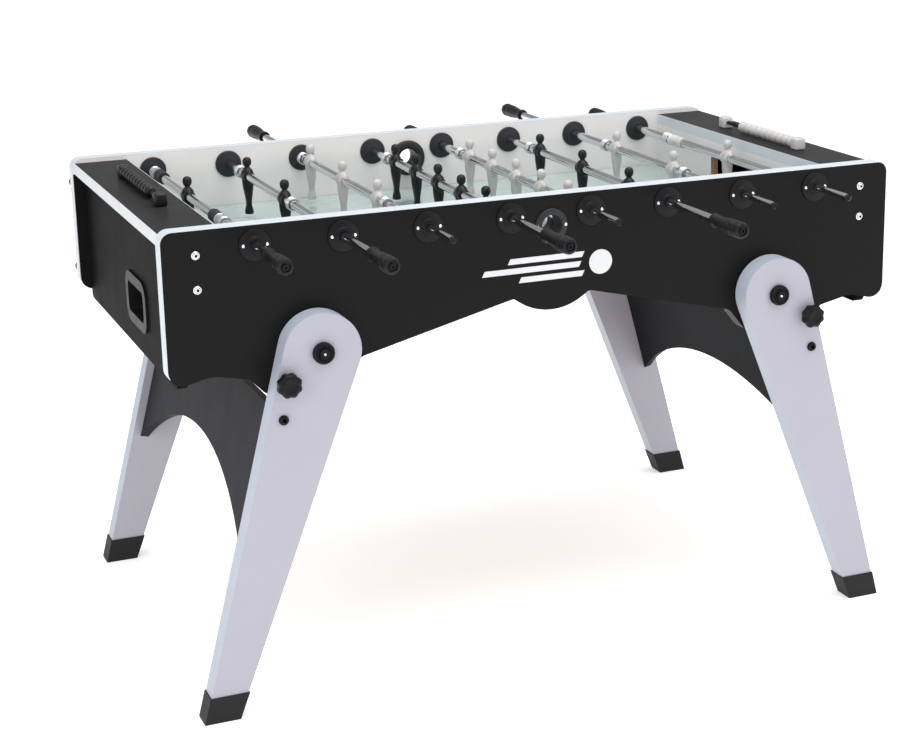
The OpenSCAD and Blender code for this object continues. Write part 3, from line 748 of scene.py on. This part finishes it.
for k in RODS:
    near, far = low(f"buffers_{k}").y, high(f"buffers_{k}").y
    here = [to(rod_x(k), near, ROD_Z, 1), to(rod_x(k), far, ROD_Z, -1)]
    metal, rubber = stops(k)
    if k in KEEPERS:
        repeated(rubber, here)
        settle(rubber, f"stop_rings_{k}", f"slider_{k}", "spring_steel",
               white_rubber if k == 8 else ring_rubber)
    repeated(metal, here)
    settle(metal, f"springs_{k}", f"slider_{k}", "spring_steel", spring_steel, f"buffers_{k}")


# ---- Bearings ------------------------------------------------------------------------

FLANGE = [(8.3, 0), (27.0, 0), (27.0, 2.2), (26.4, 3.2), (25.0, 3.8), (15.5, 4.0), (14.6, 4.6), (13.6, 6.4),
          (11.6, 7.0), (9.4, 7.0), (8.3, 6.2)]
FLANGE_SMALL = [(6.6, 0)] + FLANGE[1:-2] + [(8.0, 7.0), (6.6, 6.2)]
DISC = [(8.3, 0), (26.0, 0), (26.0, 2.6), (25.2, 3.6), (23.6, 4.2), (15.2, 4.4), (13.4, 5.2), (11.2, 5.8),
        (9.2, 5.8), (8.3, 5.4)]
DISC_SMALL = [(6.6, 0)] + DISC[1:-2] + [(8.0, 5.8), (6.6, 5.4)]


def bearing_places(handle_end, inner):
    """Where flanges or discs sit, at the rods' handle ends or at their other ends."""
    places = []
    for k in RODS:
        way = facing(k) if handle_end else -facing(k)
        y = (WALL_Y if inner else SIDE_Y) * way
        places.append(to(rod_x(k), y, ROD_Z, -way if inner else way))
    return places


flanges = joined(repeated(turned(FLANGE, ring=True), bearing_places(True, False)),
                 repeated(turned(FLANGE_SMALL, ring=True), bearing_places(False, False)))
settle(flanges, "bearing_flanges", "cabinet", "moulded_black", black_moulding, "rod_bearings")
discs = joined(repeated(turned(DISC, ring=True), bearing_places(True, True)),
               repeated(turned(DISC_SMALL, ring=True), bearing_places(False, True)))
settle(discs, "bearing_discs", "cabinet", "moulded_black", disc_plastic)

# Ball entries: a screwed flange and a tube outside, a thick ring and a chute inside.
ENTRY_FLANGE = [(19, 0), (30, 0), (30, 2.6), (29.2, 3.6), (27.6, 4), (22, 4.2), (20.4, 5.2), (19, 4.6)]
ENTRY_RING = [(19, 0), (35.6, 0), (36, 1.2), (36, 5.6), (34.6, 7.6), (32, 8.6), (25, 8.8), (22, 8), (20, 6),
              (19, 5)]
TUBE = [(19.0, -29.6), (21.4, -29.6), (21.4, 0.2), (19.0, 0.2)]
CHUTE = [(19.0, 7), (22.0, 7), (22.2, 29.4), (20.6, 30), (19.2, 29.4)]


def make_chute():
    """The lower half of a tube, which lets the ball down on to the field."""
    chute = joined(turned(CHUTE, ring=True, sides=48))
    pick(chute, lambda centre, normal: centre.z > 2 * MM)
    bpy.ops.mesh.delete(type="FACE")
    bpy.ops.mesh.select_all(action="SELECT")
    bpy.ops.mesh.region_to_loop()
    bpy.ops.mesh.fill_holes(sides=0)
    editing(False)
    return close_up(chute)


outside = joined(turned(ENTRY_FLANGE, ring=True, sides=40), turned(TUBE, ring=True, sides=40))
inside = joined(turned(ENTRY_RING, ring=True, sides=48), make_chute())
entries = joined(repeated(outside, [to(0, way * SIDE_Y, ENTRY_Z, way) for way in (FRONT, BACK)]),
                 repeated(inside, [to(0, way * WALL_Y, ENTRY_Z, -way) for way in (FRONT, BACK)]))
settle(entries, "ball_entry_rings", "cabinet", "moulded_black", disc_plastic, "ball_entries")


# ---- Screws, caps and knobs -------------------------------------------------------------

def socket_head(radius, height, hex_radius, washer=0.0):
    """A domed screw head with a hexagon socket, on a washer where it has one; in millimetres."""
    mouth = radius * 0.5
    dome = joined(turned([(radius, 0), (radius, height * 0.35), (radius * 0.9, height * 0.7),
                          (radius * 0.68, height * 0.95), (mouth, height)], sides=24))
    pick(dome, lambda centre, normal: normal.y > 0.99 and centre.y > height * 0.99 * MM)
    bpy.ops.mesh.delete(type="FACE")
    editing(False)
    hexagon = joined(turned([(hex_radius, height), (hex_radius, height * 0.35)], sides=24))
    pick(hexagon, lambda centre, normal: abs(normal.y) > 0.9 and centre.y > height * 0.9 * MM)
    bpy.ops.mesh.delete(type="FACE")
    editing(False)
    head = joined(dome, hexagon)
    pick(head, lambda co: abs(co.y - height * MM) < 0.02 * MM
         and abs(from_line(co) - min(hex_radius, mouth) * MM) < mouth * MM, "vertices")
    bpy.ops.mesh.select_mode(type="EDGE")
    bpy.ops.mesh.bridge_edge_loops()
    editing(False)
    if washer:
        inner = radius * 0.8
        ring = [(inner, 0), (washer, 0), (washer, 0.7), (washer - 0.4, 1.1), (inner, 1.1)]
        head = joined(head, turned(ring, sides=28, ring=True))
    return close_up(head)


BOLT_HEIGHTS = (798 * MM, 741 * MM)
FLANGE_SCREW, ENTRY_SCREW = 20 * MM, 26 * MM
FLANGE_TOP, ENTRY_TOP = SIDE_Y + 3.8 * MM, SIDE_Y + 3.9 * MM
PIVOT_Y = LEG_FACE + 0.3 * MM
BUMPER_X = END_X - 8 * MM
BUMPER_HEIGHTS = (788 * MM, 621 * MM)
CORNERS = [(end, way) for way in (FRONT, BACK) for end in (-1, 1)]


def small_screws():
    """The two screws of each flange and of each ball entry."""
    head = turned([(3.0, 0), (3.0, 0.5), (2.6, 1.3), (1.7, 1.9), (0.5, 2.1)], sides=16)
    places = []
    for side, way in CORNERS:
        places += [to(rod_x(k) + side * FLANGE_SCREW, way * FLANGE_TOP, ROD_Z, way) for k in RODS]
        places.append(to(side * ENTRY_SCREW, way * ENTRY_TOP, ENTRY_Z, way))
    return repeated(head, places)


bolts = repeated(socket_head(5.4, 4.2, 2.4, 7.0),
                 [to(end * BOLT_X, way * SIDE_Y, z, way) for end, way in CORNERS for z in BOLT_HEIGHTS])
settle(joined(bolts, small_screws()), "panel_screws", "cabinet", "screws", zinc, "cabinet_bolts")

CAP = [(17.0, 0), (18.6, 0.6), (18.6, 6.6), (17.6, 8.8), (15.8, 9.6), (14.6, 9.6), (13.8, 8.4), (12.8, 8.2),
       (12.0, 9.4), (11.2, 9.6), (10.4, 8.4), (9.0, 8.2), (8.4, 11.8), (7.2, 12.8), (4.2, 12.9), (3.4, 11.2),
       (0.5, 11.0)]
CAP_HOLLOW = 11.1 * MM
pivots = [to(end * PIVOT_X, way * PIVOT_Y, PIVOT_Z, way) for end, way in CORNERS]
settle(repeated(turned(CAP, sides=40), pivots), "pivot_caps", "cabinet", "moulded_black", black_moulding)
pins = repeated(turned([(2.6, 0), (2.6, 0.5), (2.0, 1.1), (0.5, 1.3)], sides=16),
                [place @ at(0, CAP_HOLLOW, 0) for place in pivots])
settle(pins, "pivot_pins", "cabinet", "screws", zinc)

bumper = turned([(8.4, 0), (9.0, 0.8), (9.0, 17.5), (8.4, 21), (6.6, 23.2), (3.6, 23.9), (0.4, 24)], sides=28)
repeated(bumper, [to(end * BUMPER_X, SIDE_Y, z, BACK) for end in (-1, 1) for z in BUMPER_HEIGHTS])
settle(bumper, "back_bumpers", "cabinet", "black_bolts", ring_rubber)


KNOB = [(12, 0), (13.4, 0.8), (13.2, 5), (17.6, 6.2), (20.8, 8.2), (21.8, 11), (21.8, 20), (20.8, 23),
        (18.0, 25.2), (12.5, 26), (11.2, 25.2), (9.6, 24.4), (0.5, 24.4)]
LOBES = 8


def lock_knob():
    """A turned knob whose rim is pushed in between its lobes, in two steps."""
    knob = joined(turned(KNOB, sides=64))
    for lobe in range(LOBES):
        line = rim_line(lobe / LOBES)
        for reach, depth in ((0.985, 1.4), (0.95, 1.2)):
            pick(knob, lambda co: from_line(co) > 15 * MM and co.dot(line) > reach * from_line(co), "vertices")
            bpy.ops.transform.translate(value=tuple(line * -depth * MM))
            editing(False)
    return close_up(knob, 40)


knob = lock_knob()
for side, way in (("front", FRONT), ("back", BACK)):
    for end in ENDS:
        node = f"lock_knob_{side}_{end}"
        centre = middle(node)
        piece = repeated(twin(knob, Matrix()), [to(centre.x, way * PIVOT_Y, centre.z, way)])
        settle(piece, f"knob_{side}_{end}", node, "knob_plastic", black_moulding, node)
bpy.data.objects.remove(knob)

for end in ENDS:
    centre = middle(f"leg_bolts_{end}")
    heads = repeated(socket_head(8.6, 6, 3.2),
                     [to(centre.x, way * LEG_FACE, centre.z, way) for way in (FRONT, BACK)])
    settle(heads, f"arch_bolt_heads_{end}", f"leg_frame_{end}", "black_bolts", black_moulding,
           f"leg_bolts_{end}")


# ---- Scorers ---------------------------------------------------------------------------------

BEAD = [(4.5, -10.3), (5.8, -10.2), (7.4, -9.3), (9.2, -7.4), (10.5, -5), (11.0, -1.8), (11.0, 1.8), (10.5, 5),
        (9.2, 7.4), (7.4, 9.3), (5.8, 10.2), (4.5, 10.3)]
BEADS = 10
RAIL_LENGTH = 285 * MM
POST_GAP = 11.2 * MM
POST_SIDE, POST_CROWN = 22 * MM, 1 * MM
POST_TOP = high("score_rails").z


POST_PLACES = {}
for end, way in (("left", -1), ("right", 1)):
    node = f"score_beads_{end}"
    x, first, last = middle(node).x, low(node).y, high(node).y
    pitch = (last - first) / BEADS
    beads = repeated(turned(BEAD, ring=True), [at(x, first + (i + 0.5) * pitch, RAIL_Z) for i in range(BEADS)])
    settle(beads, f"beads_{end}", f"score_{end}", *SCORER_TEAM[end], node)
    first_post = (first if way > 0 else last) - way * POST_GAP
    POST_PLACES[end] = sorted((first_post, first_post + way * RAIL_LENGTH))


def score_post():
    """A rounded block on the top board that holds a rail's end."""
    start()
    bpy.ops.mesh.primitive_cube_add(size=1, location=(0, 0, 0), scale=(POST_SIDE, POST_SIDE, POST_SIDE))
    post = joined(bpy.context.object)
    pick(post, lambda centre, normal: normal.z > 0.9)
    bpy.ops.mesh.inset(thickness=3 * MM)
    bpy.ops.transform.translate(value=(0, 0, POST_CROWN))
    editing(False)
    modify(post, "BEVEL", width=3.5 * MM, segments=4, limit_method="ANGLE", angle_limit=radians(20))
    close_up(post, 40)
    post.scale.z = (POST_TOP - LID_TOP) / (POST_SIDE + POST_CROWN)
    return joined(post)


for end in ENDS:
    x = middle(f"score_beads_{end}").x
    posts = repeated(score_post(), [at(x, y, (LID_TOP + POST_TOP) / 2) for y in POST_PLACES[end]])
    settle(posts, f"score_posts_{end}", "cabinet", *SCORER_TEAM[end])
    length = RAIL_LENGTH / MM
    bar = turned([(3.4, 0), (4.0, 0.6), (4.0, length - 0.6), (3.4, length)], sides=20)
    repeated(bar, [at(x, POST_PLACES[end][0], RAIL_Z)])
    settle(bar, f"score_bar_{end}", "cabinet", "moulded_black", black_moulding,
           *(["score_rails"] if end == "left" else []))


# ---- The mark on the front panel -----------------------------------------------------------------

MARK_Z = 712 * MM
BALL = [(22, -0.3), (22, 0.5), (0.4, 0.5)]
BALL_X = 94 * MM
# Height, left end and right end of each bar, in millimetres.
BARS = ((17, -82, 58), (0, -130, 52), (-17, -62, 58))
BAR_HEIGHT, BAR_DEPTH, BAR_SLANT = 10 * MM, 0.8 * MM, 5 * MM


def emblem():
    """A plain ball in flight: a round dot and three slanted bars that trail behind it."""
    ball = joined(turned(BALL, sides=64))
    ball.matrix_world = at(BALL_X, 0, 0)
    bars = []
    for z, left, right in BARS:
        start()
        bpy.ops.mesh.primitive_cube_add(size=1, location=((left + right) / 2 * MM, 0.1 * MM, z * MM),
                                        scale=((right - left) * MM, BAR_DEPTH, BAR_HEIGHT))
        bar = joined(bpy.context.object)
        pick(bar, lambda co: co.z > z * MM, "vertices")
        bpy.ops.transform.translate(value=(BAR_SLANT, 0, 0))
        editing(False)
        bars.append(modify(bar, "BEVEL", width=0.2 * MM, segments=2))
    mark = close_up(joined(ball, *bars))
    mark.scale.y = -1
    return close_up(joined(mark))


mark = repeated(emblem(), [at(0, -SIDE_Y, MARK_Z)])
settle(mark, "panel_mark", "cabinet", "white_band", print_grey)


# ---- The floor and the light ---------------------------------------------------------------------

def pale_floor():
    """A wide, faintly glowing white floor."""
    start()
    bpy.ops.mesh.primitive_plane_add(size=30, location=(0, 0, -0.5 * MM))
    floor = bpy.context.object
    floor.name = "floor"
    finish = Finish("pale_floor", Roughness=0.9, Specular_IOR_Level=0.1, Emission_Strength=0.45)
    finish.colour(finish.mix(finish.noise(0.8, 2), (0.95, 0.95, 0.95), (0.98, 0.98, 0.98)))
    finish.shader.inputs["Emission Color"].default_value = (1, 1, 1, 1)
    floor.data.materials.append(finish.material)


def light(name, place, size, power, target=(0, 0, 0.6)):
    """A square soft lamp of a size in metres and a power in watts, turned to its target."""
    data = bpy.data.lights.new(name, "AREA")
    data.energy, data.size = power, size
    lamp = bpy.data.objects.new(name, data)
    bpy.context.scene.collection.objects.link(lamp)
    aim = (Vector(target) - Vector(place)).to_track_quat("-Z", "Y")
    lamp.matrix_world = Matrix.Translation(place) @ aim.to_matrix().to_4x4()


def studio():
    """A sky that is dim at middle heights, so that plated rods show dark streaks, and three soft lamps."""
    world = bpy.data.worlds.new("studio")
    bpy.context.scene.world = world
    world.use_nodes = True
    nodes, links = world.node_tree.nodes, world.node_tree.links
    place = nodes.new("ShaderNodeTexCoord")
    parts = nodes.new("ShaderNodeSeparateXYZ")
    ramp = nodes.new("ShaderNodeValToRGB")
    stops = ((0.0, 0.95), (0.12, 0.8), (0.3, 0.34), (0.5, 0.4), (0.8, 1.0))
    while len(ramp.color_ramp.elements) < len(stops):
        ramp.color_ramp.elements.new(0.5)
    for element, (position, level) in zip(ramp.color_ramp.elements, stops):
        element.position, element.color = position, (level, level, level, 1)
    links.new(place.outputs["Generated"], parts.inputs[0])
    links.new(parts.outputs[2], ramp.inputs[0])
    links.new(ramp.outputs[0], nodes["Background"].inputs["Color"])
    nodes["Background"].inputs["Strength"].default_value = 0.9
    light("key", (-3.4, -2.6, 2.2), size=2.5, power=52)
    light("top", (0.2, -0.6, 3.6), size=2.6, power=85)
    light("fill", (3.0, -3.2, 2.0), size=2.5, power=36)


pale_floor()
studio()
bpy.context.scene.view_settings.view_transform = "Standard"
